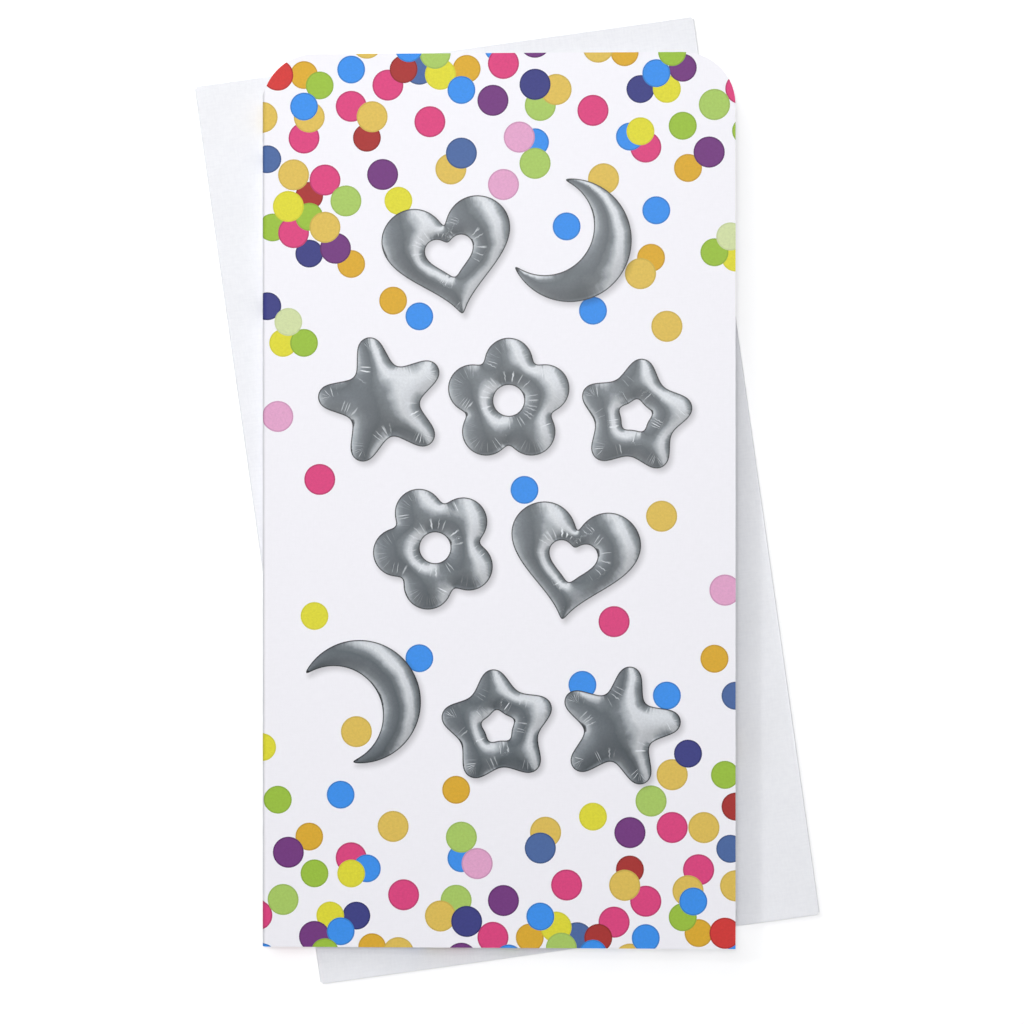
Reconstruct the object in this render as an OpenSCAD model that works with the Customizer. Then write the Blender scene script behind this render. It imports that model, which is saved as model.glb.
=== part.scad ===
// Slim gift card holder: a folded board card with a glued pocket for one
// plastic card, lying face up on the paper envelope that it goes into.
// The table is at z = 0, +Y runs up the card and +X to its free edge.

/* [Holder] */
// Width of the closed holder, from the fold to the free edge
cover_w = 90; // [90:1:120]
// Height of the holder, along the fold
cover_h = 170; // [130:1:210]
// Radius of the two rounded top corners
corner_r = 10; // [4:0.5:20]
// Thickness of the folded board
board_t = 0.4; // [0.25:0.01:0.6]
// Outside radius of the two creases along the spine
crease_r = 0.9; // [0.65:0.05:1.1]
// Angle by which the two creases together hold the front cover open at rest
cover_spring = 2; // [0:0.5:6]

/* [Pocket] */
// Height of the pocket, from the bottom fold to its mouth
pocket_depth = 42; // [32:1:50]
// Radius of the thumb notch in the mouth of the pocket
notch_r = 10; // [6:0.5:14]
// Width of the glue tabs folded under the pocket's sides
tab_w = 9; // [6:0.5:14]
// Drop of the slanted ends of the glue tabs
tab_slant = 4; // [0:0.5:8]
// Width of the glue strips under the tabs
glue_w = 5; // [2:0.5:5.5]
// Thickness of the glue strips
glue_t = 0.05; // [0.03:0.01:0.2]

/* [Gift card] */
// Long side of the plastic card, which lies across the holder
card_l = 85.6; // [70:0.1:85.6]
// Short side of the plastic card
card_w = 54; // [45:0.5:65]
// Thickness of the plastic card
card_t = 0.76; // [0.4:0.02:1.2]
// Radius of the card's corners
card_corner_r = 3.2; // [1:0.1:6]

/* [Envelope] */
// Room across the holder inside the envelope
envelope_play_w = 6.5; // [3:0.5:12]
// Room along the holder inside the envelope
envelope_play_h = 3.5; // [2:0.5:12]
// Thickness of the envelope's paper
paper_t = 0.15; // [0.1:0.01:0.25]
// Thickness of the dried gum on flap and seams
gum_t = 0.05; // [0.03:0.01:0.1]
// Depth of the folded end flaps
end_flap_d = 18; // [12:1:26]
// Depth of the closing flap, from its fold
closing_flap_d = 38; // [30:1:44]
// Overlap of the closing flap and the back panel
flap_overlap = 11; // [10:1:16]
// Drop of the slanted ends of every flap
flap_slant = 7; // [3:0.5:10]
// Radius of the corners of the closing flap
flap_corner_r = 6; // [2:0.5:8]
// Width of the gum strip along the closing flap
flap_gum_w = 8; // [5:0.5:10]
// Turn of the envelope under the holder
envelope_turn = 8; // [0:1:20]
// Distance of the holder's centre to the left of the envelope's centre
holder_shift = 1.6; // [0:0.1:2]

/* [Fits] */
// Play above and below the card in its pocket
card_play_z = 0.05; // [0.03:0.01:0.2]
// Play at each end of the card in its pocket
card_play_side = 0.7; // [0.5:0.05:0.8]
// Play between the card and the bottom fold, past the end of its curve
card_play_foot = 0.3; // [0.1:0.1:2]
// Gap between the pocket and the front cover pressed shut
cover_gap = 0.1; // [0.05:0.01:0.3]
// Gap between the holder and the envelope that it lies on
rest_gap = 0.05; // [0.03:0.01:0.3]
// Step by which flaps and tabs are cut short beside a fold
relief = 1; // [0.5:0.1:2]

/* [Hidden] */
$fn = 64;

// Room that a cutting shape is given past what it cuts
past = 1;

// Heights of the holder's layers, from the underside of the back cover
tab_z = board_t + glue_t;
card_z = tab_z + board_t + card_play_z;
panel_z = card_z + card_t + card_play_z;
pocket_top_z = panel_z + board_t;
front_z = pocket_top_z + cover_gap;
holder_stack = front_z + board_t;
crease_out_r = min(crease_r, holder_stack / 2);
// Distance of a crease's hinge line from both outer faces, on the bend's outside
crease_hinge = crease_out_r * (1 - cos(45));

// The pocket, centred between the spine and the free edge of the back cover
side_fold_r = (pocket_top_z - tab_z) / 2;
bottom_fold_r = pocket_top_z / 2;
pocket_w = card_l + 2 * (card_play_side + board_t);
pocket_x = board_t + (cover_w - board_t - pocket_w) / 2;
panel_w = pocket_w - 2 * side_fold_r;
panel_x = pocket_x + side_fold_r;
card_x = pocket_x + board_t + card_play_side;
card_y = bottom_fold_r + card_play_foot;
tab_y = bottom_fold_r + relief;

// The envelope's outside, and the heights of its layers from the table
envelope_w = cover_w + envelope_play_w;
envelope_h = cover_h + envelope_play_h;
back_panel_z = paper_t + gum_t;
seam_z = back_panel_z + paper_t;
end_flap_z = seam_z + gum_t;
face_z = end_flap_z + paper_t;
envelope_stack = face_z + paper_t;
side_fold_out_r = (envelope_stack - back_panel_z) / 2;
mouth_fold_r = envelope_stack / 2;
envelope_right = envelope_w / 2;
envelope_top = envelope_h / 2;
back_panel_d = envelope_w - closing_flap_d + flap_overlap;
back_panel_left = envelope_right - back_panel_d;
closing_flap_right = -envelope_right + closing_flap_d;

// Turns the envelope's own axes to lie as it does under the holder
module in_envelope() {
    rotate([0, 0, envelope_turn])
        children();
}

// Puts the holder's lower corner at the fold where it lies on the envelope
module in_holder() {
    translate([-holder_shift - cover_w / 2, -cover_h / 2, envelope_stack + rest_gap])
        children();
}

// Turns a shape about the outer line of a crease by its half of the spring
module about_crease(hinge_z) {
    translate([crease_hinge, 0, hinge_z])
        rotate([0, -cover_spring / 2, 0])
            translate([-crease_hinge, 0, -hinge_z])
                children();
}

// The spine leans out about the crease beside the back cover
module spine_sprung() {
    about_crease(crease_hinge)
        children();
}

// The front cover turns on about the crease at the top of the spine
module cover_sprung() {
    spine_sprung()
        about_crease(holder_stack - crease_hinge)
            children();
}

// Draws an outline of X and Z along Y
module along_y(from_y, to_y) {
    translate([0, to_y, 0])
        rotate([90, 0, 0])
            linear_extrude(height = to_y - from_y)
                children();
}

// Draws an outline of Y and Z along X
module along_x(from_x, to_x) {
    translate([from_x, 0, 0])
        rotate([90, 0, 90])
            linear_extrude(height = to_x - from_x)
                children();
}

// A flat sheet: the outline below it raised to a height
module sheet(z, thickness) {
    translate([0, 0, z])
        linear_extrude(height = thickness)
            children();
}

// A ring of a folded sheet, about the origin
module fold_ring(outer_r, thickness) {
    difference() {
        circle(r = outer_r);
        circle(r = outer_r - thickness);
    }
}

// The half of a fold that turns a sheet back on itself, open towards +X
module half_fold(outer_r, thickness) {
    intersection() {
        fold_ring(outer_r, thickness);
        translate([-outer_r - past, -outer_r - past])
            square([outer_r + past, 2 * (outer_r + past)]);
    }
}

// The lower quarter of a fold, from the sheet below up to the hinge line
module quarter_fold(outer_r, thickness) {
    intersection() {
        fold_ring(outer_r, thickness);
        translate([-outer_r - past, -outer_r - past])
            square(outer_r + past);
    }
}

// Outline of a cover with its fold on the left and rounded top corners
module cover_outline() {
    square([cover_w, cover_h - corner_r]);
    translate([corner_r, 0])
        square([cover_w - 2 * corner_r, cover_h]);
    for (x = [corner_r, cover_w - corner_r])
        translate([x, cover_h - corner_r])
            circle(r = corner_r);
}

// Half of a rounded crease, from its middle to the cover below it
module cover_half_crease() {
    reach = crease_out_r + past;
    translate([crease_out_r, crease_out_r])
        intersection() {
            fold_ring(crease_out_r, board_t);
            polygon([[0, 0], [-reach, -reach], [0, -reach]]);
        }
}

// The other half of that crease, from its middle to the spine above it
module spine_half_crease() {
    rotate(90)
        mirror([0, 1])
            cover_half_crease();
}

// Turns an outline at the back cover into the same one at the front cover
module as_front() {
    translate([0, holder_stack])
        mirror([0, 1])
            children();
}

// An outline of X and Z drawn up the fold and cut by the rounded top corner
module up_the_fold() {
    intersection() {
        along_y(0, cover_h)
            children();
        sheet(-past, holder_stack + 2 * past)
            cover_outline();
    }
}

// Outline of a flap that narrows away from a fold along the Y axis
module flap_outline(length, depth, slant) {
    polygon([
        [0, -length / 2],
        [depth, -length / 2 + slant],
        [depth, length / 2 - slant],
        [0, length / 2]
    ]);
}

// The same outline with its two free corners rounded
module rounded_flap_outline(length, depth, slant, radius) {
    lean = atan(slant / depth);
    center = [depth - radius, length / 2 - slant - radius * tan(45 - lean / 2)];
    reach = 2 * radius;
    difference() {
        flap_outline(length, depth, slant);
        for (side = [0, 1])
            mirror([0, side])
                translate(center)
                    difference() {
                        polygon([
                            [0, 0],
                            [reach, 0],
                            [reach, reach],
                            [reach * sin(lean), reach * cos(lean)]
                        ]);
                        circle(r = radius);
                    }
    }
}

module envelope_face() {
    color("ghostwhite")
        in_envelope()
            sheet(face_z, paper_t)
                translate([-envelope_right + mouth_fold_r, -envelope_top + paper_t])
                    square([
                        envelope_w - mouth_fold_r - side_fold_out_r,
                        envelope_h - 2 * paper_t
                    ]);
}

module envelope_back() {
    color("white")
        in_envelope()
            sheet(back_panel_z, paper_t)
                translate([envelope_right - side_fold_out_r, 0])
                    mirror([1, 0])
                        flap_outline(
                            envelope_h - 2 * relief,
                            back_panel_d - side_fold_out_r,
                            flap_slant
                        );
}

module envelope_side_fold() {
    color("lavender")
        in_envelope()
            translate([envelope_right - side_fold_out_r, 0, back_panel_z + side_fold_out_r])
                mirror([1, 0, 0])
                    along_y(-envelope_top + relief, envelope_top - relief)
                        half_fold(side_fold_out_r, paper_t);
}

module envelope_mouth_fold() {
    color("lavender")
        in_envelope()
            translate([-envelope_right + mouth_fold_r, 0, mouth_fold_r])
                mirror([0, 0, 1])
                    along_y(-envelope_top + relief, envelope_top - relief)
                        quarter_fold(mouth_fold_r, paper_t);
}

// An end flap with the folded nose that joins it to the face, at the top end
module end_flap() {
    nose_y = envelope_top - paper_t;
    flap_l = envelope_w - 2 * relief;
    sheet(end_flap_z, paper_t)
        translate([0, nose_y])
            rotate(-90)
                flap_outline(flap_l, end_flap_d, flap_slant);
    intersection() {
        along_x(-flap_l / 2, flap_l / 2)
            translate([nose_y, face_z])
                circle(r = paper_t);
        translate([-envelope_w, nose_y, 0])
            cube([2 * envelope_w, past, envelope_stack + past]);
    }
}

module envelope_top_flap() {
    color("whitesmoke")
        in_envelope()
            end_flap();
}

module envelope_bottom_flap() {
    color("whitesmoke")
        in_envelope()
            mirror([0, 1, 0])
                end_flap();
}

// The gum of the two seams, where the back panel lies over the end flaps
module envelope_seam_gum() {
    gum_l = back_panel_d - 2 * flap_slant;
    gum_y = envelope_top - end_flap_d + relief;
    gum_w = end_flap_d - flap_slant - 2 * relief;
    color("gainsboro")
        in_envelope()
            for (side = [0, 1])
                mirror([0, side, 0])
                    sheet(seam_z, gum_t)
                        translate([back_panel_left + relief, gum_y])
                            square([gum_l, gum_w]);
}

module closing_flap() {
    color("white")
        in_envelope()
            sheet(0, paper_t)
                translate([-envelope_right + mouth_fold_r, 0])
                    rounded_flap_outline(
                        envelope_h - 2 * relief,
                        closing_flap_d - mouth_fold_r,
                        flap_slant,
                        flap_corner_r
                    );
}

module closing_flap_fold() {
    color("lavender")
        in_envelope()
            translate([-envelope_right + mouth_fold_r, 0, mouth_fold_r])
                along_y(-envelope_top + relief, envelope_top - relief)
                    quarter_fold(mouth_fold_r, paper_t);
}

module closing_flap_gum() {
    gum_l = envelope_h - 2 * (relief + flap_slant + flap_corner_r);
    color("gainsboro")
        in_envelope()
            sheet(paper_t, gum_t)
                translate([closing_flap_right - relief - flap_gum_w, -gum_l / 2])
                    square([flap_gum_w, gum_l]);
}

module back_cover() {
    color("snow")
        in_holder()
            sheet(0, board_t)
                intersection() {
                    cover_outline();
                    translate([crease_out_r, bottom_fold_r])
                        square([cover_w, cover_h]);
                }
}

module back_fold() {
    color("thistle")
        in_holder()
            up_the_fold()
                cover_half_crease();
}

module pocket_panel() {
    color("mistyrose")
        in_holder()
            sheet(panel_z, board_t)
                difference() {
                    translate([panel_x, bottom_fold_r])
                        square([panel_w, pocket_depth - bottom_fold_r]);
                    translate([pocket_x + pocket_w / 2, pocket_depth])
                        circle(r = notch_r);
                }
}

module pocket_bottom_fold() {
    color("thistle")
        in_holder()
            along_x(panel_x, panel_x + panel_w)
                translate([bottom_fold_r, bottom_fold_r])
                    half_fold(bottom_fold_r, board_t);
}

// The fold and the tab at the pocket's left side are mirrored to its right
module pocket_side(side) {
    in_holder()
        translate([pocket_x + pocket_w / 2, 0, 0])
            mirror([side, 0, 0])
                translate([-pocket_w / 2, 0, 0])
                    children();
}

module pocket_side_fold() {
    translate([side_fold_r, 0, tab_z + side_fold_r])
        along_y(tab_y, pocket_depth)
            half_fold(side_fold_r, board_t);
}

module pocket_tab() {
    tab_l = pocket_depth - tab_y;
    sheet(tab_z, board_t)
        translate([side_fold_r, tab_y + tab_l / 2])
            flap_outline(tab_l, tab_w, tab_slant);
}

module pocket_left_fold() {
    color("thistle")
        pocket_side(0)
            pocket_side_fold();
}

module pocket_right_fold() {
    color("thistle")
        pocket_side(1)
            pocket_side_fold();
}

module pocket_left_tab() {
    color("linen")
        pocket_side(0)
            pocket_tab();
}

module pocket_right_tab() {
    color("linen")
        pocket_side(1)
            pocket_tab();
}

// The two strips of glue that hold the tabs to the back cover
module pocket_glue() {
    glue_x = side_fold_r + (tab_w - glue_w) / 2;
    glue_l = pocket_depth - tab_y - 2 * (tab_slant + relief);
    color("khaki")
        for (side = [0, 1])
            pocket_side(side)
                sheet(board_t, glue_t)
                    translate([glue_x, tab_y + tab_slant + relief])
                        square([glue_w, glue_l]);
}

module gift_card() {
    color("steelblue")
        in_holder()
            sheet(card_z, card_t)
                translate([card_x, card_y]) {
                    translate([card_corner_r, 0])
                        square([card_l - 2 * card_corner_r, card_w]);
                    translate([0, card_corner_r])
                        square([card_l, card_w - 2 * card_corner_r]);
                    for (x = [card_corner_r, card_l - card_corner_r])
                        for (y = [card_corner_r, card_w - card_corner_r])
                            translate([x, y])
                                circle(r = card_corner_r);
                }
}

// The flat of the spine with half a crease at each end of it
module spine() {
    color("plum")
        in_holder()
            spine_sprung()
                up_the_fold() {
                    spine_half_crease();
                    as_front()
                        spine_half_crease();
                    if (2 * crease_out_r < holder_stack)
                        translate([0, crease_out_r])
                            square([board_t, holder_stack - 2 * crease_out_r]);
                }
}

module front_fold() {
    color("thistle")
        in_holder()
            cover_sprung()
                up_the_fold()
                    as_front()
                        cover_half_crease();
}

module front_cover() {
    color("snow")
        in_holder()
            cover_sprung()
                sheet(front_z, board_t)
                    intersection() {
                        cover_outline();
                        translate([crease_out_r, 0])
                            square([cover_w, cover_h]);
                    }
}

envelope_face();
envelope_back();
envelope_side_fold();
envelope_mouth_fold();
envelope_top_flap();
envelope_bottom_flap();
envelope_seam_gum();
closing_flap();
closing_flap_fold();
closing_flap_gum();
back_cover();
back_fold();
pocket_panel();
pocket_bottom_fold();
pocket_left_fold();
pocket_right_fold();
pocket_left_tab();
pocket_right_tab();
pocket_glue();
gift_card();
spine();
front_fold();
front_cover();
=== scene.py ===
import math
import random

import bpy
import numpy as np
from mathutils.geometry import delaunay_2d_cdt
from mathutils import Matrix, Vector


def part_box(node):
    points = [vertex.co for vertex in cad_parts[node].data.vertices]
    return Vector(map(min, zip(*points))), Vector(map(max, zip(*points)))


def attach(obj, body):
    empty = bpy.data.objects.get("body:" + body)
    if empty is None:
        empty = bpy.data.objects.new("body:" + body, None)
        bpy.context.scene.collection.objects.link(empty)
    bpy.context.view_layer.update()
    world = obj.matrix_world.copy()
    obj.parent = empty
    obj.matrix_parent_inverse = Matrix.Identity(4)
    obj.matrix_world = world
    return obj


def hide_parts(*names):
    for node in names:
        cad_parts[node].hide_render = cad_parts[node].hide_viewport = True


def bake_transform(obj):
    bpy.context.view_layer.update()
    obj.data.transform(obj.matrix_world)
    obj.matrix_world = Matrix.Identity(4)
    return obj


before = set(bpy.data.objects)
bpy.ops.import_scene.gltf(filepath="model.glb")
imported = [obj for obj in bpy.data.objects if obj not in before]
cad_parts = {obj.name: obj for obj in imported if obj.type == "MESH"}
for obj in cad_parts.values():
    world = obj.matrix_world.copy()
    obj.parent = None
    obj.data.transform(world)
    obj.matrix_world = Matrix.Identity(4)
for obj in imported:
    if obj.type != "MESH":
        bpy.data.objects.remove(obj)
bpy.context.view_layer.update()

# The picture is taken from straight above through a long lens, and the holder
# stands upright in it. view_width is what it spans at the front cover's mean height.
MM = 0.001
lens = 100
film = 36
view_width = 194.65 * MM
aim = (0.95 * MM, -2.2 * MM)
mean_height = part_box("front_cover")[1].z * 0.7

camera = bpy.data.objects.new("camera", bpy.data.cameras.new("camera"))
camera.data.lens = lens
camera.data.sensor_width = film
camera.location = (*aim, mean_height + view_width * lens / film)
bpy.context.scene.collection.objects.link(camera)
bpy.context.scene.camera = camera

# Envelope: one sheet of thin white paper. Its end flaps and back panel fold
# under the face, and the back panel is gummed down over the end flaps.
envelope_w = 96.5
envelope_h = 173.5
envelope_turn = math.radians(8)
paper = 0.15
gum = 0.05
end_flap_d = 18
back_panel_d = 69.5
flap_slant = 7
flap_round = 2
corner_gap = 0.4

back_panel_z = paper + gum
end_flap_z = back_panel_z + paper + gum
face_mid = end_flap_z + 1.5 * paper
end_fold_r = paper / 2
side_fold_r = (face_mid - back_panel_z - paper / 2) / 2
mouth_fold_r = (face_mid - paper / 2) / 2
nose_y = envelope_h / 2 - paper
side_x = envelope_w / 2 - side_fold_r - paper / 2
mouth_x = mouth_fold_r + paper / 2 - envelope_w / 2
end_x = envelope_w / 2 - corner_gap
fold_y = envelope_h / 2 - corner_gap

arc_step = math.radians(7)


def rounded(corners):
    """An outline from corners (x, y, radius), each one rounded by an arc."""
    points = []
    for i, (x, y, radius) in enumerate(corners):
        corner = np.array((x, y), float)
        if radius == 0:
            points.append((x, y))
            continue
        back = np.array(corners[i - 1][:2], float) - corner
        ahead = np.array(corners[(i + 1) % len(corners)][:2], float) - corner
        back /= np.linalg.norm(back)
        ahead /= np.linalg.norm(ahead)
        half = math.acos(np.clip(back @ ahead, -1, 1)) / 2
        middle = corner + (back + ahead) / np.linalg.norm(back + ahead) * radius / math.sin(half)
        first = corner + back * radius / math.tan(half) - middle
        turn = math.pi - 2 * half
        side = np.sign(back[1] * ahead[0] - back[0] * ahead[1])
        steps = max(3, round(turn / arc_step))
        for k in range(steps + 1):
            c, s = math.cos(side * turn * k / steps), math.sin(side * turn * k / steps)
            points.append((middle[0] + c * first[0] - s * first[1], middle[1] + s * first[0] + c * first[1]))
    return points


row_height = 0.866


def grid(x0, y0, x1, y1, step):
    """Evenly spread points, each row shifted by half a step."""
    rows = int((y1 - y0) / (step * row_height)) + 1
    columns = int((x1 - x0) / step) + 1
    return [
        (x0 + (i + 0.5 * (j % 2)) * step, y0 + j * step * row_height)
        for j in range(rows)
        for i in range(columns)
    ]


fold_step = math.radians(11)


def rulings(axis, at, side, radius, turn, low, high):
    """The lines along a fold where its curve is cut into narrow flats."""
    steps = max(6, round(turn / fold_step))
    places = [at + side * radius * turn * k / steps for k in range(steps + 1)]
    if axis == 0:
        return [((p, low), (p, high)) for p in places]
    return [((low, p), (high, p)) for p in places]


same_point = 1e-4
no_area = 1e-7


def cut(outline, prints=(), lines=(), points=()):
    """Cuts a flat sheet into triangles along its outline, its prints and its folds.

    Gives the points, the triangles and, for each triangle, the number of the last
    print laid on it, or -1 where the sheet is bare.
    """
    places = list(outline)
    faces = [list(range(len(outline)))]
    for loop in prints:
        faces.append(list(range(len(places), len(places) + len(loop))))
        places += loop
    edges = []
    for line in lines:
        edges.append((len(places), len(places) + 1))
        places += line
    places += points
    found = delaunay_2d_cdt(places, edges, faces, 1, same_point, True)
    kept = [i for i, owners in enumerate(found[5]) if 0 in owners]
    spots = np.array([tuple(v) for v in found[0]], float)
    triangles = np.array([found[2][i] for i in kept])
    a, b, c = (spots[triangles[:, k]] for k in range(3))
    area = (b[:, 0] - a[:, 0]) * (c[:, 1] - a[:, 1]) - (b[:, 1] - a[:, 1]) * (c[:, 0] - a[:, 0])
    solid = np.abs(area) > no_area
    triangles[area < 0] = triangles[area < 0][:, ::-1]
    top = np.array([max(found[5][i]) - 1 for i in kept])
    used, triangles = np.unique(triangles[solid], return_inverse=True)
    return spots[used], triangles.reshape(-1, 3), top[solid]


def rim_of(triangles):
    """The outline of a cut sheet, as point numbers in order."""
    ahead = {}
    pairs = {(int(t[k]), int(t[(k + 1) % 3])) for t in triangles for k in range(3)}
    for a, b in pairs:
        if (b, a) not in pairs:
            ahead[a] = b
    start = next(iter(ahead))
    rim = [start]
    while ahead[rim[-1]] != start:
        rim.append(ahead[rim[-1]])
    return rim


def beside(points, outline):
    """How far points lie outside an outline, and the part of the outline next to them."""
    ahead = np.roll(outline, -1, 0)
    edge = ahead - outline
    to = points[:, None] - outline
    share = np.clip((to * edge).sum(2) / (edge ** 2).sum(1), 0, 1)
    gap = to - share[..., None] * edge
    gap = np.hypot(gap[..., 0], gap[..., 1])
    x, y = points[:, :1], points[:, 1:]
    spans = (outline[:, 1] > y) != (ahead[:, 1] > y)
    rise = np.where(edge[:, 1] == 0, 1, edge[:, 1])
    crossing = spans & (x < outline[:, 0] + edge[:, 0] * (y - outline[:, 1]) / rise)
    near = gap.argmin(1)
    rows = np.arange(len(points))
    inside = crossing.sum(1) % 2 == 1
    return np.where(inside, -1, 1) * gap[rows, near], near + share[rows, near]


def fold(p, axis, at, side, radius, turn, where=True):
    """Bends what lies past a line round it, down and under the rest."""
    past = side * (p[:, axis] - at)
    bent = (past > 0) & where
    angle = np.clip(past / radius, 0, turn)
    rest = np.maximum(past - radius * turn, 0)
    inner = radius + p[:, 2]
    q = p.copy()
    q[bent, axis] = at + (side * (inner * np.sin(angle) + rest * np.cos(angle)))[bent]
    q[bent, 2] = (inner * np.cos(angle) - rest * np.sin(angle) - radius)[bent]
    return q


sharp_from = math.radians(35)
inside_offset = 400


def sheet(name, skin, thickness, shape, lines, step):
    """Makes a closed sheet of the given thickness from its cut outside.

    shape takes flat points, outside up, and gives where they lie in millimetres.
    The outside has material 0, and the inside and the cut edge have material 1.
    The UV map is the flat sheet in millimetres, its inside set off in y.
    """
    spots, triangles, _ = skin
    rim = rim_of(triangles)
    outline = spots[rim]
    inside = np.array(grid(*outline.min(0), *outline.max(0), step))
    inside = inside[beside(inside, outline)[0] < -step / 8]
    inner = cut([tuple(p) for p in outline], (), lines, [tuple(p) for p in inside])
    count = len(spots)
    flat = np.vstack([
        np.column_stack([spots, np.full(count, thickness / 2)]),
        np.column_stack([inner[0], np.full(len(inner[0]), -thickness / 2)]),
    ])
    numbers = {tuple(np.round(p, 3)): i + count for i, p in enumerate(inner[0])}
    under = {i: numbers[tuple(np.round(spots[i], 3))] for i in rim}
    faces = [tuple(t) for t in triangles.tolist()]
    faces += [(a + count, c + count, b + count) for a, b, c in inner[1].tolist()]
    faces += [(a, under[a], under[b], b) for a, b in zip(rim, rim[1:] + rim[:1])]
    mesh = bpy.data.meshes.new(name)
    mesh.from_pydata((shape(flat) * MM).tolist(), [], faces)
    raw = np.arange(len(faces)) >= len(triangles)
    mesh.polygons.foreach_set("material_index", raw.astype(np.int32))
    plan = flat[:, :2].copy()
    plan[count:] += (0, inside_offset)
    corners = np.zeros(len(mesh.loops), np.int32)
    mesh.loops.foreach_get("vertex_index", corners)
    mesh.uv_layers.new(name="sheet").data.foreach_set("uv", plan[corners].astype(np.float32).ravel())
    mesh.shade_smooth()
    mesh.set_sharp_from_angle(angle=sharp_from)
    piece = bpy.data.objects.new(name, mesh)
    bpy.context.scene.collection.objects.link(piece)
    return piece


right_lift = (44.5, 25, 1.5)
top_lift = (86, 12, 0.35)


def lifted(p, start, run, rise):
    """How far a loose edge has lifted, growing from where the lift starts."""
    return rise * np.clip((p - start) / run, 0, None) ** 2


def on_table(p):
    """Turns the envelope's own axes to where it lies.

    Its right and top corners, which the holder doesn't press down, lift a little.
    """
    c, s = math.cos(envelope_turn), math.sin(envelope_turn)
    q = p.copy()
    q[:, 0] = c * p[:, 0] - s * p[:, 1]
    q[:, 1] = s * p[:, 0] + c * p[:, 1]
    q[:, 2] += lifted(q[:, 0], *right_lift) + lifted(q[:, 1], *top_lift)
    return q


end_reach = nose_y + end_fold_r * math.pi + end_flap_d
panel_start = side_x + side_fold_r * math.pi
panel_reach = panel_start + back_panel_d - side_fold_r - paper / 2
upper_half = [
    (side_x, fold_y, 0),
    (side_x, nose_y, 0),
    (end_x, nose_y, 0),
    (end_x - flap_slant, end_reach, flap_round),
    (flap_slant - end_x, end_reach, flap_round),
    (-end_x, nose_y, 0),
    (mouth_x, nose_y, 0),
]
panel = [
    (panel_start, -fold_y, 0),
    (panel_reach, flap_slant - fold_y, flap_round),
    (panel_reach, fold_y - flap_slant, flap_round),
    (panel_start, fold_y, 0),
]
envelope_outline = rounded(panel + upper_half + [(x, -y, r) for x, y, r in reversed(upper_half)])
envelope_lines = rulings(0, side_x, 1, side_fold_r, math.pi, -fold_y, fold_y)
for end in (-1, 1):
    envelope_lines += rulings(1, end * nose_y, end, end_fold_r, math.pi, -end_x, end_x)


def envelope_shape(p):
    """Folds both end flaps under the face, and then the back panel under them."""
    for end in (-1, 1):
        p = fold(p, 1, end * nose_y, end, end_fold_r, math.pi, np.abs(p[:, 0]) < end_x + corner_gap / 2)
    p = fold(p, 0, side_x, 1, side_fold_r, math.pi)
    return on_table(p + (0, 0, face_mid))


paper_step = 4
envelope = sheet(
    "envelope_sheet",
    cut(envelope_outline, lines=envelope_lines, points=grid(-60, -110, 120, 110, paper_step)),
    paper, envelope_shape, envelope_lines, paper_step,
)


def put(tree, socket, value):
    """Joins an output to a socket, or fills the socket with a value."""
    if isinstance(value, bpy.types.Node):
        value = value.outputs[0]
    if isinstance(value, bpy.types.NodeSocket):
        tree.links.new(value, socket)
    elif value is not None:
        socket.default_value = value


def add(tree, kind, *inputs, **settings):
    """Adds a shader node, with its settings, and joins or fills its inputs in order."""
    node = tree.nodes.new("ShaderNode" + kind)
    for key, value in settings.items():
        setattr(node, key, value)
    for socket, value in zip(node.inputs, inputs):
        put(tree, socket, value)
    return node


def calc(tree, how, *inputs):
    """Adds one step of arithmetic."""
    return add(tree, "Math", *inputs, operation=how)


def mixed(tree, share, first, second, mode="MIX"):
    """Mixes two colours."""
    node = add(tree, "Mix", data_type="RGBA", blend_type=mode)
    for number, value in ((0, share), (6, first), (7, second)):
        put(tree, node.inputs[number], value)
    return node.outputs[2]


def tinted(tree, first, second):
    """Lays one colour over another, as a print does."""
    return mixed(tree, 1.0, first, second, "MULTIPLY")


def ramp(tree, value, *stops):
    """Turns a value into a grey or a colour through stops (place, tone)."""
    node = add(tree, "ValToRGB", value)
    marks = node.color_ramp.elements
    while len(marks) < len(stops):
        marks.new(1)
    for mark, (at, tone) in zip(marks, stops):
        mark.position = at
        mark.color = tone if isinstance(tone, tuple) else (tone, tone, tone, 1)
    return node.outputs[0]


def effect(name, inputs, outputs):
    """An empty node group with named sockets, and its input and output nodes."""
    group = bpy.data.node_groups.new(name, "ShaderNodeTree")
    for label, kind, value in inputs:
        socket = group.interface.new_socket(label, in_out="INPUT", socket_type="NodeSocket" + kind)
        if value is not None:
            socket.default_value = value
    for label, kind in outputs:
        group.interface.new_socket(label, in_out="OUTPUT", socket_type="NodeSocket" + kind)
    return group, group.nodes.new("NodeGroupInput"), group.nodes.new("NodeGroupOutput")


def place(tree, group, **inputs):
    """Puts an effect into a material."""
    node = tree.nodes.new("ShaderNodeGroup")
    node.node_tree = group
    for label, value in inputs.items():
        put(tree, node.inputs[label], value)
    return node


def colour(red, green, blue):
    """A colour written as it looks, from 0 to 255, for a shader's socket."""
    parts = [c / 255 for c in (red, green, blue)]
    return tuple(c / 12.92 if c <= 0.04045 else ((c + 0.055) / 1.055) ** 2.4 for c in parts) + (1,)


def finish(name, shine):
    """A new material and its node tree. Its shine is the same all over."""
    material = bpy.data.materials.new(name)
    material.use_nodes = True
    tree = material.node_tree
    tree.nodes["Principled BSDF"].inputs["Specular IOR Level"].default_value = shine
    return material, tree


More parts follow.
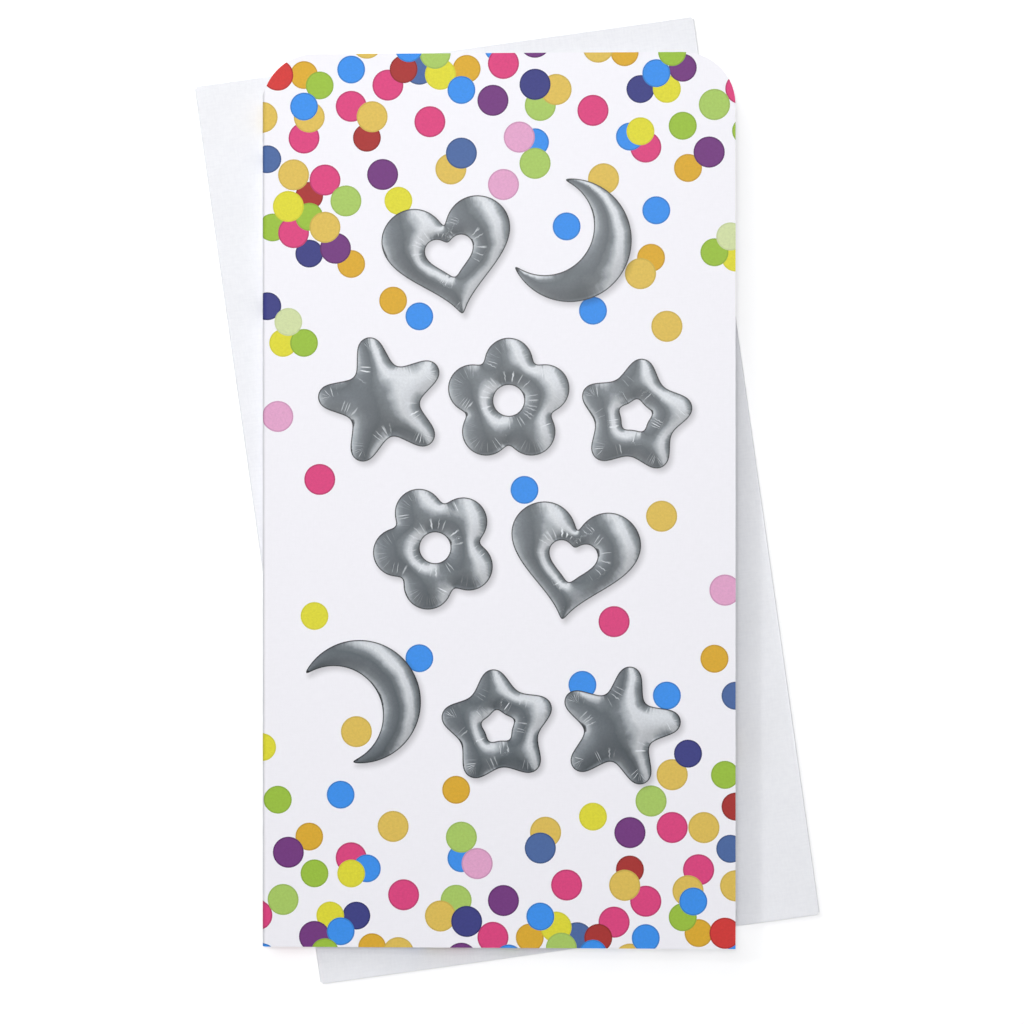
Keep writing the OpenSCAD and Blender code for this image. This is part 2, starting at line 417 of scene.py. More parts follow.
def surface(tree, tone, roughness, height, strength, depth):
    """Gives a material its tone, its roughness and the relief of a height, in metres."""
    shader = tree.nodes["Principled BSDF"]
    put(tree, shader.inputs["Base Color"], tone)
    put(tree, shader.inputs["Roughness"], roughness)
    put(tree, shader.inputs["Normal"], add(tree, "Bump", strength, depth, None, height))


def on_sheet(tree):
    """Places on the flat sheet, in millimetres."""
    return add(tree, "UVMap", uv_map="sheet")


# Paper fibre: short crossing hairs, a fine tooth and slow clouds in the pulp.
fibre, gin, gout = effect(
    "paper fibre",
    [("Vector", "Vector", None), ("Hair", "Float", 1.0), ("Tooth", "Float", 6.0)],
    [("Height", "Float"), ("Fleck", "Float"), ("Cloud", "Float")],
)
flat_place, hair_size, tooth_size = gin.outputs[:3]
long_way = add(fibre, "VectorMath", flat_place, (0.35, 2.2, 1), operation="MULTIPLY")
cross_way = add(fibre, "VectorMath", flat_place, (2.0, 0.4, 1), operation="MULTIPLY")
hairs = calc(
    fibre, "ADD",
    add(fibre, "TexNoise", long_way, None, hair_size, 3.0, 0.6),
    add(fibre, "TexNoise", cross_way, None, hair_size, 3.0, 0.6),
)
tooth = add(fibre, "TexNoise", flat_place, None, tooth_size, 2.0, 0.5)
one_third = 0.333
put(fibre, gout.inputs["Height"], calc(fibre, "MULTIPLY", calc(fibre, "ADD", hairs, tooth), one_third))
put(fibre, gout.inputs["Fleck"], calc(fibre, "MULTIPLY", hairs, 0.5))
put(fibre, gout.inputs["Cloud"], add(fibre, "TexNoise", flat_place, None, 0.09, 3.0, 0.55))


def fibres(tree, hair, tooth):
    """The height, fleck and cloud of paper whose hair and tooth have that fineness."""
    return place(tree, fibre, Vector=on_sheet(tree), Hair=hair, Tooth=tooth).outputs[:3]


def bare_stock(name, shine, fineness, tones, cloud_tone, roughness, bump):
    """Uncoated paper or board: flecked, cloudy and dull."""
    material, tree = finish(name, shine)
    height, fleck, cloud = fibres(tree, *fineness)
    tone = tinted(
        tree, ramp(tree, fleck, (0.3, tones[0]), (0.6, tones[1])),
        ramp(tree, cloud, (0.3, cloud_tone), (0.7, 1.0)),
    )
    surface(tree, tone, ramp(tree, height, (0.3, roughness[0]), (0.7, roughness[1])), height, *bump)
    return material


def coat(piece, outside, inside):
    """Gives a sheet the finish of its outside, and that of its inside and cut edge."""
    piece.data.materials.append(outside)
    piece.data.materials.append(inside)


paper_tones = colour(238, 239, 244), colour(245, 246, 250)
envelope_paper = bare_stock(
    "envelope paper", 0.3, (1.3, 7.0), paper_tones, 0.97, (0.62, 0.78), (0.35, 0.00004),
)
coat(envelope, envelope_paper, envelope_paper)
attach(envelope, "envelope")
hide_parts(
    "envelope_face", "envelope_back", "envelope_side_fold",
    "envelope_top_flap", "envelope_bottom_flap",
)

# Closing flap: the same sheet goes on round the mouth fold. The flap is
# folded under the envelope and isn't stuck down.
closing_flap_d = 38
flap_corner_r = 6
flap_start = mouth_x - mouth_fold_r * math.pi
flap_end = flap_start - (closing_flap_d - mouth_fold_r - paper / 2)
flap_corners = [
    (mouth_x, fold_y, 0),
    (flap_start, fold_y, 0),
    (flap_end, fold_y - flap_slant, flap_corner_r),
    (flap_end, flap_slant - fold_y, flap_corner_r),
    (flap_start, -fold_y, 0),
    (mouth_x, -fold_y, 0),
]
flap_lines = rulings(0, mouth_x, -1, mouth_fold_r, math.pi, -fold_y, fold_y)


def flap_shape(p):
    """Folds the flap under the envelope."""
    p = fold(p, 0, mouth_x, -1, mouth_fold_r, math.pi)
    return on_table(p + (0, 0, face_mid))


closing_flap = sheet(
    "closing_flap_sheet",
    cut(rounded(flap_corners), lines=flap_lines, points=grid(-90, -90, -40, 90, paper_step)),
    paper, flap_shape, flap_lines, paper_step,
)
coat(closing_flap, envelope_paper, envelope_paper)
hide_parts("closing_flap", "closing_flap_fold", "envelope_mouth_fold")
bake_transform(closing_flap)

# Gum: thin dried strips. Two hold the envelope's seams, and one along the
# closing flap is for the user to wet. Their edges waver as the gum ran.
gum_inset = 1
seam_x = (envelope_w / 2 - back_panel_d + gum_inset, envelope_w / 2 - 2 * flap_slant + gum_inset)
seam_y = (envelope_h / 2 - end_flap_d + gum_inset, envelope_h / 2 - flap_slant - gum_inset)
flap_gum_w = 8
flap_gum_x = closing_flap_d - envelope_w / 2 - gum_inset
flap_gum_y = envelope_h / 2 - gum_inset - flap_slant - flap_corner_r
gum_waver = 0.5
waver_step = 2.5
strip_step = 3
gum_dice = random.Random(8)


def strip_outline(x0, y0, x1, y1, waver, dice):
    """A strip whose edges waver inwards by up to that much."""
    corners = [(x0, y0), (x1, y0), (x1, y1), (x0, y1)]
    points = []
    for (ax, ay), (bx, by) in zip(corners, corners[1:] + corners[:1]):
        length = math.hypot(bx - ax, by - ay)
        steps = max(3, round(length / waver_step))
        for k in range(steps):
            share = k / steps
            inward = waver * dice.random()
            x = ax + (bx - ax) * share - (by - ay) / length * inward
            y = ay + (by - ay) * share + (bx - ax) / length * inward
            points.append((min(max(x, x0), x1), min(max(y, y0), y1)))
    return points


def strip(name, outlines, height, thickness, shape):
    """One piece of one or more flat strips at one height."""
    parts = []
    for number, outline in enumerate(outlines):
        low, high = np.min(outline, 0), np.max(outline, 0)
        parts.append(sheet(
            f"{name}_{number}",
            cut(outline, points=grid(*low, *high, strip_step)),
            thickness,
            lambda p: shape(p + (0, 0, height + thickness / 2)),
            (),
            strip_step,
        ))
    if len(parts) > 1:
        with bpy.context.temp_override(active_object=parts[0], selected_editable_objects=parts):
            bpy.ops.object.join()
    parts[0].name = parts[0].data.name = name
    return parts[0]


def dried(name, fineness, tones, roughness):
    """Dried gum or glue: cloudy, glossy in places, with a fine wrinkle."""
    material, tree = finish(name, 0.5)
    _, fleck, cloud = fibres(tree, *fineness)
    tone = ramp(tree, cloud, (0.35, tones[0]), (0.65, tones[1]))
    wrinkle = fibres(tree, 0.5, 1.2)[0]
    surface(tree, tone, ramp(tree, fleck, (0.35, roughness[0]), (0.7, roughness[1])), wrinkle, 0.5, 0.00006)
    return material


gum_finish = dried(
    "dried gum", (0.5, 3.0), (colour(226, 222, 206), colour(238, 236, 226)), (0.16, 0.42),
)
seam_outlines = [
    strip_outline(seam_x[0], seam_y[0], seam_x[1], seam_y[1], gum_waver, gum_dice),
    strip_outline(seam_x[0], -seam_y[1], seam_x[1], -seam_y[0], gum_waver, gum_dice),
]
seam_gum = strip("envelope_seam_gum_strips", seam_outlines, back_panel_z + paper, gum, on_table)
coat(seam_gum, gum_finish, gum_finish)
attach(seam_gum, "envelope")
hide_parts("envelope_seam_gum")

flap_gum_outline = strip_outline(
    flap_gum_x - flap_gum_w, -flap_gum_y, flap_gum_x, flap_gum_y, gum_waver, gum_dice,
)
flap_gum = strip("closing_flap_gum_strip", [flap_gum_outline], paper, gum, on_table)
coat(flap_gum, gum_finish, gum_finish)
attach(flap_gum, "flap")
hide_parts("closing_flap_gum")

# Holder: one sheet of white board, printed outside in many inks and creased
# twice along the left edge. Laid out flat, its outside up, x is 0 at the left
# of the front cover and runs to its free edge, and y runs up from the bottom.
board = 0.4
glue = 0.05
cover_w = 90
cover_h = 170
corner_r = 10
card_w, card_h, card_t = 85.6, 54, 0.76
card_play = 0.05
cover_gap = 0.1
crease_out_r = 0.9

card_z = 2 * board + glue + card_play
pocket_top_z = card_z + card_t + card_play + board
holder_stack = pocket_top_z + cover_gap + board
crease_r = crease_out_r - board / 2
quarter = math.pi / 2
strip_top = crease_out_r - crease_r * quarter
strip_foot = strip_top - (holder_stack - 2 * crease_out_r)
spine_middle = (strip_top + strip_foot) / 2
back_start = strip_foot - crease_r * quarter
back_seam = back_start - board
back_edge = back_start + crease_out_r - cover_w
bottom_fold_out_r = pocket_top_z / 2
holder_at = np.array(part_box("back_cover")[0]) / MM - (crease_out_r, bottom_fold_out_r, 0)
hinge_arm = crease_out_r * (1 - math.cos(math.pi / 4))
half_spring = math.radians(1)

# The pocket is folded up from the back cover's bottom edge, and its two side
# tabs are folded under it and glued down. A notch lets a thumb push the card.
pocket_depth = 42
tab_relief = 1
notch_r = 10
tab_w = 9
tab_slant = 4
card_end_play = 0.7

tab_z = board + glue
pocket_side_out_r = (pocket_top_z - tab_z) / 2
pocket_side_r = pocket_side_out_r - board / 2
bottom_fold_r = bottom_fold_out_r - board / 2
pocket_w = card_w + 2 * (card_end_play + board)
pocket_x = board + (cover_w - board - pocket_w) / 2
pocket_right = back_start + crease_out_r - pocket_x - pocket_side_out_r
pocket_left = back_start + crease_out_r - pocket_x - pocket_w + pocket_side_out_r
pocket_middle = (pocket_left + pocket_right) / 2
pocket_foot = bottom_fold_out_r - bottom_fold_r * math.pi
tab_top = pocket_foot - tab_relief
pocket_end = pocket_foot - (pocket_depth - bottom_fold_out_r)
tab_fold_w = pocket_side_r * math.pi

# The inks, as they look on the board.
inks = {
    "orange": (226, 176, 50),
    "green": (160, 198, 66),
    "navy": (63, 66, 136),
    "slate blue": (78, 108, 166),
    "dark red": (174, 52, 50),
    "magenta": (226, 70, 131),
    "purple": (119, 58, 131),
    "yellow": (229, 223, 57),
    "light green": (174, 207, 103),
    "tan": (228, 195, 91),
    "sky blue": (61, 149, 243),
    "pink": (232, 169, 208),
    "red": (217, 59, 57),
    "pale green": (215, 227, 171),
}

# The front's dots in the order in which they are laid: ink, size and places.
BIG, SMALL = 2.96, 2.66
front_dots = [
    ("orange", SMALL, [
        (8, 166), (39, 167), (17, 130), (69, 170), (81, 148), (74, 131), (25, 123), (37, 30), (86, 55),
        (9, 21), (21, 0), (51, 2), (83, 3),
    ]),
    ("dark red", SMALL, [(9, 143), (20, 154), (70, 15), (90, 27)]),
    ("slate blue", BIG, [(30, 167), (60, 2)]),
    ("slate blue", SMALL, [(1, 150), (90, 48), (89, 19)]),
    ("navy", SMALL, [(9, 132), (72, 163), (18, 6), (1, 122)]),
    ("green", SMALL, [(2, 137)]),
    ("yellow", SMALL, [(26, 142), (77, 163), (90, 131), (13, 6), (4, 115), (10, 63), (0, 38), (63, 25)]),
    ("sky blue", SMALL, [(45, 171)]),
    ("magenta", BIG, [
        (8, 154), (17, 160), (24, 164), (46, 168), (32, 157), (12, 146), (6, 136), (63, 159), (91, 163),
        (73, 152), (11, 89), (67, 62), (17, 17), (27, 10), (44, 2), (-1, 6), (78, 23), (83, 15), (73, 9),
        (58, 12), (67, 5),
    ]),
    ("dark red", SMALL, [(27, 167), (64, 2)]),
    ("sky blue", SMALL, [
        (17, 167), (52, 153), (70, 154), (20, 15), (38, 17), (75, 140), (58, 137), (30, 120), (63, 121),
        (50, 87), (30, 55), (61, 50), (77, 48), (15, 29), (91, -1), (0, -2), (47, -2),
    ]),
    ("light green", BIG, [
        (53, 160), (37, 9), (16, 142), (86, 160), (4, 9), (74, 28), (38, 21), (52, 149),
    ]),
    ("green", SMALL, [
        (11, 164), (9, 139), (86, 132), (8, 115), (80, 6), (80, 156), (92, 155), (3, 28), (10, 14), (88, 33),
    ]),
    ("purple", BIG, [
        (44, 161), (23, 147), (14, 133), (52, 172), (85, 151), (5, 18), (10, 2), (46, 9), (38, -2), (70, 22),
    ]),
    ("purple", SMALL, [(80, 167)]),
    ("tan", BIG, [
        (9, 158), (0, 158), (20, 172), (21, 158), (36, 148), (6, 147), (12, 137), (56, 163), (64, 171),
        (65, 146), (72, 128), (77, 118), (76, 82), (18, 41), (25, 23), (26, -1), (34, 6), (78, 33),
        (54, 22), (84, 23), (69, 12), (81, 11), (90, 12), (70, -2),
    ]),
    ("pink", BIG, [(46, 145), (49, 154), (3, 101), (88, 68), (41, 16)]),
    ("slate blue", BIG, [(38, 151), (53, 19)]),
    ("navy", BIG, [(52, 164), (39, 5)]),
    ("navy", SMALL, [(81, 37)]),
    ("yellow", BIG, [(5, 141), (34, 166), (56, 4)]),
    ("yellow", SMALL, [(72, 155), (17, 14)]),
    ("light green", BIG, [(33, 170), (57, 0)]),
    ("sky blue", SMALL, [
        (8, 160), (28, 171), (38, 163), (75, 166), (15, 3), (82, 9), (53, 6), (63, -1), (73, 2),
    ]),
    ("green", SMALL, [(78, 170), (12, -1)]),
    ("red", BIG, [(3, 166), (88, 3)]),
    ("pale green", SMALL, [(89, 135), (5, 119)]),
]
confetti = [(ink, radius, x, y) for ink, radius, places in front_dots for x, y in places]
kinds = [(ink, radius) for ink, radius, _, _ in confetti]

# The back cover and the pocket are strewn with more of them, some in pairs.
dot_count = 290
lowest_dot = -46
overhang = 2
spine_clear = 3
pair_share = 0.45
pair_gap = 4.3
least_gap = 3.4
middle_share = 0.06
top_from, top_run = 118, 52
foot_from, foot_run = 48, 45
print_dice = random.Random(21)


def back_share(y):
    """How thick the dots lie on the back cover and its pocket: most at top and bottom."""
    top = max(0, (y - top_from) / top_run) ** 1.3
    return middle_share + top + min(1, max(0, (foot_from - y) / foot_run))


while len(confetti) < dot_count:
    x = print_dice.uniform(back_edge - overhang, back_start - spine_clear)
    y = print_dice.uniform(lowest_dot, cover_h + overhang)
    if confetti[-1][2] < back_start and print_dice.random() < pair_share:
        turn = print_dice.uniform(0, math.tau)
        x = confetti[-1][2] + pair_gap * math.cos(turn)
        y = confetti[-1][3] + pair_gap * math.sin(turn)
    gap = min(math.hypot(x - u, y - v) for _, _, u, v in confetti)
    if gap > least_gap and x < back_start - spine_clear and print_dice.random() < back_share(y):
        confetti.append((*print_dice.choice(kinds), x, y))


def circle(x, y, radius, count=36):
    """The outline of a dot."""
    return [
        (x + radius * math.cos(math.tau * k / count), y + radius * math.sin(math.tau * k / count))
        for k in range(count)
    ]


def star(tip, valley, tip_r, valley_r):
    """Five arms, from the radius of their tips and of the valleys between them."""
    points = []
    for k in range(10):
        radius, round_off = ((tip, tip_r), (valley, valley_r))[k % 2]
        turn = math.pi * (0.5 + k / 5)
        points.append((radius * math.cos(turn), radius * math.sin(turn), round_off))
    return rounded(points)


def heart(size, drop):
    """The usual heart curve, set higher or lower in its frame."""
    points = []
    for k in range(240):
        t = -math.tau * k / 240
        x = 16 * math.sin(t) ** 3
        y = 13 * math.cos(t) - 5 * math.cos(2 * t) - 2 * math.cos(3 * t) - math.cos(4 * t)
        points.append((size * x, size * y + drop))
    return points


def crescent(outer, inner, shift):
    """A disc with a smaller disc taken out of its side."""
    tip = math.acos((outer ** 2 + shift ** 2 - inner ** 2) / (2 * outer * shift))
    inner_tip = math.pi - math.acos((inner ** 2 + shift ** 2 - outer ** 2) / (2 * inner * shift))
    steps = 60
    points = []
    for k in range(steps):
        turn = tip + (math.tau - 2 * tip) * k / steps
        points.append((outer * math.cos(turn) + shift / 2, outer * math.sin(turn)))
    for k in range(steps):
        turn = -inner_tip - (math.tau - 2 * inner_tip) * k / steps
        points.append((1.5 * shift + inner * math.cos(turn), inner * math.sin(turn)))
    return points


def blossom(petal_r, petal_at):
    """Five round petals, from their radius and their distance from the middle."""
    points = []
    for k in range(300):
        turn = -math.tau * k / 300
        off = (turn + math.pi / 5) % (math.tau / 5) - math.pi / 5
        radius = petal_at * math.cos(off) + math.sqrt(petal_r ** 2 - (petal_at * math.sin(off)) ** 2)
        points.append((radius * math.sin(turn), radius * math.cos(turn)))
    return points


# Foil balloons, each an outline and sometimes a hole in it.
ring_heart = [heart(0.78, 1.6), heart(0.3, 0.7)]
ring_star = [star(14.4, 7.8, 2.6, 2.2), star(4.4, 2.5, 0.5, 0.4)]
slim_star = [star(21, 6.8, 2.6, 1.4)]
moon = [crescent(12.4, 9.9, 5.8)]
ring_blossom = [blossom(4.7, 7.3), circle(0, 0, 3.1)]

# Where they lie, in rows of two and three: motif, place, size and lean.
balloons = [
    (ring_heart, 36, 131, 1.0, 12),
    (moon, 61, 133, 0.95, 150),
    (slim_star, 23, 104, 0.95, 14),
    (ring_blossom, 47, 104, 1.0, 0),
    (ring_star, 71, 101, 0.95, -8),
    (ring_blossom, 33, 76, 1.0, 25),
    (ring_heart, 59, 73, 1.0, -10),
    (moon, 21, 48, 0.95, -152),
    (ring_star, 45, 42, 0.95, 6),
    (slim_star, 68, 42, 0.9, -12),
]

loop_step = 0.4
loop_passes = 6


def smooth_loop(points):
    """Spreads the points of a closed outline evenly and rounds its corners off."""
    p = np.array(points, float)
    for _ in range(2):
        edge = np.roll(p, -1, 0) - p
        along = np.concatenate([[0], np.cumsum(np.hypot(edge[:, 0], edge[:, 1]))])
        count = round(along[-1] / loop_step)
        places = np.arange(count) * along[-1] / count
        closed = np.vstack([p, p[:1]])
        p = np.column_stack([np.interp(places, along, closed[:, k]) for k in (0, 1)])
        for _ in range(loop_passes):
            p = (np.roll(p, 1, 0) + 2 * p + np.roll(p, -1, 0)) / 4
    return p


def balloon_loops(loops, x, y, size, lean):
    """The balloon's loops where they lie, with evenly spread points."""
    c, s = math.cos(math.radians(lean)) * size, math.sin(math.radians(lean)) * size
    placed = []
    for loop in loops:
        p = smooth_loop(loop)
        placed.append(np.column_stack([x + c * p[:, 0] - s * p[:, 1], y + s * p[:, 0] + c * p[:, 1]]))
    return placed


def beside_foil(points, loops):
    """How far points lie outside a balloon, and the part of its rim next to them."""
    gap, near = beside(points, loops[0])
    for hole in loops[1:]:
        hole_gap, hole_near = beside(points, hole)
        near = np.where(-hole_gap > gap, hole_near + len(loops[0]), near)
        gap = np.maximum(gap, -hole_gap)
    return gap, near


bend_points = 4
full_bend = 1.2


def bends(loop):
    """How sharply a loop turns at each of its points, up to 1."""
    ahead = np.roll(loop, -bend_points, 0) - loop
    heading = np.arctan2(ahead[:, 1], ahead[:, 0])
    turn = np.abs(np.roll(heading, bend_points) - heading)
    turn = np.minimum(turn, math.tau - turn) / full_bend
    return np.clip(np.roll(turn, -bend_points), 0, 1)


most_rounds = 600
still = 1e-14


def swell(p, triangles, held):
    """How a foil skin held at its rim swells: the lean of its surface at every point.

    The skin is a membrane under even pressure, solved by conjugate gradients.
    """
    corner = p[triangles]
    edge = np.roll(corner, -2, 1) - np.roll(corner, -1, 1)
    double = edge[:, 0, 0] * edge[:, 1, 1] - edge[:, 0, 1] * edge[:, 1, 0]
    slope = np.stack([-edge[..., 1], edge[..., 0]], 2) / double[:, None, None]
    pull = np.einsum("tik,tjk->tij", slope, slope) * double[:, None, None] / 2
    rows = np.repeat(triangles, 3, 1).ravel()
    columns = np.tile(triangles, 3).ravel()
    values = pull.ravel()
    free = ~held
    height = np.zeros(len(p))
    left = np.bincount(triangles.ravel(), np.repeat(double / 6, 3), len(p)) * free
    way, size = left.copy(), left @ left
    for _ in range(most_rounds):
        push = np.bincount(rows, values * way[columns], len(p)) * free
        step = size / (way @ push)
        height += step * way
        left -= step * push
        now = left @ left
        if now < still * len(p):
            break
        way, size = left + way * now / size, now
    lean = np.einsum("ti,tik->tk", height[triangles], slope)
    total = np.column_stack([
        np.bincount(triangles.ravel(), np.repeat(double * lean[:, k], 3), len(p)) for k in (0, 1)
    ])
    weight = np.bincount(triangles.ravel(), np.repeat(double, 3), len(p))
    total /= np.maximum(weight, 1e-9)[:, None]
    steep = np.sqrt((total ** 2).sum(1) + 2 * np.maximum(height, 0))
    return -total / np.maximum(steep, 1e-9)[:, None]


def eased(share):
    """Goes from 0 to 1 with a soft start and end."""
    share = np.clip(share, 0, 1)
    return share * share * (3 - 2 * share)


rim_w = 0.26
foil_step = 0.45
foil_reach = 2.4
foil_margin = 2.2
rim_clear = 0.22
seam_apart = 200
shadow_shift = np.array((0.55, -0.65))
shadow_blur = 1.0
shadow_depth = 0.4
shadow_reach = 4
foil_mark = (0.2, 0.22, 0.24, 1)


def printed(name, outline, thickness, shape, lines, ground, dots, foils=(), step=4.5):
    """A sheet of one ground colour with dots and foil balloons printed on its outside.

    The attribute ink holds the tones, its alpha 1 on a balloon. The others are for
    the foil: puff is the skin's lean and depth, seam the place along its rim and
    how sharply that turns, and shade the soft shadow printed round it.
    """
    prints = []
    tones = []
    low, high = np.min(outline, 0), np.max(outline, 0)
    for ink, radius, x, y in dots:
        if low[0] - radius < x < high[0] + radius and low[1] - radius < y < high[1] + radius:
            tone = np.array((*colour(*inks[ink])[:3], 0))
            # Ink piles up at a dot's rim, which shows most on the dark inks.
            rim = 0.62 + 0.38 * tone @ (0.21, 0.72, 0.07, 0)
            prints += [circle(x, y, radius), circle(x, y, radius - rim_w)]
            tones += [tone * rim, tone]
    points = grid(*low, *high, step)
    first_print = []
    for foil in foils:
        first_print.append(len(prints))
        for number, loop in enumerate(foil):
            tones.append(np.array((*ground, 0) if number else foil_mark))
            prints.append([tuple(p) for p in loop])
        near = np.array(grid(*(foil[0].min(0) - foil_reach), *(foil[0].max(0) + foil_reach), foil_step))
        gap = beside_foil(near, foil)[0]
        points += [tuple(p) for p in near[(gap < foil_margin) & (np.abs(gap) > rim_clear)]]
    skin = cut(outline, prints, lines, points)
    spots, triangles, top = skin
    piece = sheet(name, skin, thickness, shape, lines, step)
    mesh = piece.data
    tones.append(np.array((*ground, 0)))
    ink = np.tile(tones[-1], (len(mesh.loops), 1))
    ink[: 3 * len(top)] = np.repeat(np.array(tones)[top], 3, 0)
    puff = np.zeros((len(mesh.vertices), 3), np.float32)
    seam = np.zeros((len(mesh.vertices), 3), np.float32)
    shade = np.ones(len(mesh.vertices), np.float32)
    for number, foil in enumerate(foils):
        near = (spots > foil[0].min(0) - shadow_reach) & (spots < foil[0].max(0) + shadow_reach)
        close = np.flatnonzero(near.all(1))
        gap, _ = beside_foil(spots[close] - shadow_shift, foil)
        shade[close] *= 1 - shadow_depth * eased((shadow_blur - gap) / (2 * shadow_blur))
        own = triangles[top == first_print[number]]
        used, own = np.unique(own, return_inverse=True)
        gap, along = beside_foil(spots[used], foil)
        held = gap > -1e-3
        puff[used, :2] = swell(spots[used], own.reshape(-1, 3), held)
        puff[used, 2] = np.where(held, 0, -gap)
        bend = np.concatenate([bends(loop) for loop in foil])
        seam[used, 0] = along * loop_step + seam_apart * number
        seam[used, 1] = bend[along.astype(int) % len(bend)]
    tone_data = mesh.color_attributes.new("ink", "FLOAT_COLOR", "CORNER").data
    tone_data.foreach_set("color", ink.astype(np.float32).ravel())
    mesh.attributes.new("puff", "FLOAT_VECTOR", "POINT").data.foreach_set("vector", puff.ravel())
    mesh.attributes.new("seam", "FLOAT_VECTOR", "POINT").data.foreach_set("vector", seam.ravel())
    mesh.attributes.new("shade", "FLOAT", "POINT").data.foreach_set("value", shade)
    return piece


def top_edge(x):
    """Height of the rounded top edge above a place across the closed cover."""
    near = max(corner_r - x, x - cover_w + corner_r, 0)
    return cover_h - corner_r + math.sqrt(max(corner_r ** 2 - near ** 2, 0))


def turned(p, share, hinge_z):
    """Turns points by a share of the spring about a crease's hinge line."""
    angle = share * half_spring
    x, z = p[:, 0] - hinge_arm, p[:, 2] - hinge_z
    q = p.copy()
    q[:, 0] = hinge_arm + x * np.cos(angle) - z * np.sin(angle)
    q[:, 2] = hinge_z + x * np.sin(angle) + z * np.cos(angle)
    return q


def turned_over(p):
    """Lays a sheet down with its outside on the table, as the back cover lies."""
    return np.column_stack([back_start + crease_out_r - p[:, 0], p[:, 1], board / 2 - p[:, 2]])


def front_shape(p):
    """Folds the spine down and springs both creases."""
    p = fold(p, 0, crease_out_r, -1, crease_r, quarter) + (0, 0, holder_stack - board / 2)
    crease_z = holder_stack - crease_out_r
    share = (p[:, 0] - board / 2 + p[:, 2] - crease_z) / (2 * crease_r)
    p = turned(p, eased(share), holder_stack - hinge_arm)
    return turned(p, 1, hinge_arm) + holder_at


def spine_shape(p):
    """Folds the spine's lower half up from the back cover."""
    p = turned_over(fold(p, 0, back_start, 1, crease_r, quarter))
    share = (crease_out_r - p[:, 0] + p[:, 2] - board / 2) / (2 * crease_r)
    return turned(p, eased(share), hinge_arm) + holder_at


def back_shape(p):
    """Folds the pocket's tabs under it, and then the pocket up over the back cover."""
    for x, side in ((pocket_left, -1), (pocket_right, 1)):
        p = fold(p, 0, x, side, pocket_side_r, math.pi, p[:, 1] < 0)
    return turned_over(fold(p, 1, bottom_fold_out_r, -1, bottom_fold_r, math.pi)) + holder_at


# The flat outlines. The board is parted along the middle of the spine and beside
# the back cover's crease, and its rounded corner runs on over both creases.
arc_steps = 16
crease_steps = 6
notch_steps = 24
arc_places = [corner_r - corner_r * math.sin(quarter * k / arc_steps) for k in range(arc_steps)]
fold_corner = [(x, top_edge(x), 0) for x in arc_places if x > crease_out_r]
upper_crease = [
    (
        crease_out_r - crease_r * quarter * k / crease_steps,
        top_edge(crease_out_r - crease_r * math.sin(quarter * k / crease_steps)),
        0,
    )
    for k in range(crease_steps + 1)
]
front_outline = rounded(
    [(spine_middle, 0, 0), (cover_w, 0, 0), (cover_w, cover_h, corner_r)]
    + fold_corner
    + upper_crease
    + [(spine_middle, upper_crease[-1][1], 0)]
)
mirror_x = strip_top + strip_foot
spine_outline = rounded(
    [
        (back_seam, bottom_fold_out_r, 0),
        (back_start, bottom_fold_out_r, 0),
        (back_start, 0, 0),
        (spine_middle, 0, 0),
        (spine_middle, upper_crease[-1][1], 0),
    ]
    + [(mirror_x - x, y, 0) for x, y, _ in reversed(upper_crease)]
    + [(back_seam, top_edge(crease_out_r + board), 0)]
)
notch = [
    (
        pocket_middle - notch_r * math.cos(math.pi * k / notch_steps),
        pocket_end + notch_r * math.sin(math.pi * k / notch_steps),
        0,
    )
    for k in range(notch_steps + 1)
]
left_tab = [
    (pocket_left, tab_top, 0),
    (pocket_left - tab_fold_w, tab_top, 0),
    (pocket_left - tab_fold_w - tab_w, tab_top - tab_slant, 1),
    (pocket_left - tab_fold_w - tab_w, pocket_end + tab_slant, 1),
    (pocket_left - tab_fold_w, pocket_end, 0),
]
back_outline = rounded(
    [(back_edge, bottom_fold_out_r, 0), (pocket_left, bottom_fold_out_r, 0)]
    + left_tab
    + notch
    + [(2 * pocket_middle - x, y, r) for x, y, r in reversed(left_tab)]
    + [(pocket_right, bottom_fold_out_r, 0), (back_seam, bottom_fold_out_r, 0)]
    + [(back_seam, top_edge(crease_out_r + board), 0)]
    + [(mirror_x - x, y, 0) for x, y, _ in reversed(fold_corner) if mirror_x - x < back_seam]
    + [(back_edge, cover_h, corner_r)]
)

front_lines = rulings(0, crease_out_r, -1, crease_r, quarter, 0, top_edge(board))
spine_lines = rulings(0, back_start, 1, crease_r, quarter, 0, top_edge(board))
back_lines = rulings(1, bottom_fold_out_r, -1, bottom_fold_r, math.pi, pocket_left, pocket_right)
for x, side in ((pocket_left, -1), (pocket_right, 1)):
    back_lines += rulings(0, x, side, pocket_side_r, math.pi, pocket_end, tab_top)

board_white = colour(246, 245, 251)[:3]
foils = [balloon_loops(*balloon) for balloon in balloons]
front = printed(
    "front_cover_board", front_outline, board, front_shape, front_lines, board_white, confetti, foils,
)
spine = printed("spine_board", spine_outline, board, spine_shape, spine_lines, board_white, confetti)
back = printed("back_cover_board", back_outline, board, back_shape, back_lines, board_white, confetti)

# Foil print: how a swollen foil skin would mirror a studio, as a printed
# picture. Puff holds the skin's lean and depth, Seam the place along its rim.
foil_print, gin, gout = effect(
    "foil print",
    [("Puff", "Vector", None), ("Seam", "Vector", None), ("Vector", "Vector", None)],
    [("Color", "Color")],
)
tree = foil_print
lean_across, lean_up, depth = add(tree, "SeparateXYZ", gin.outputs["Puff"]).outputs
along, bend, _ = add(tree, "SeparateXYZ", gin.outputs["Seam"]).outputs

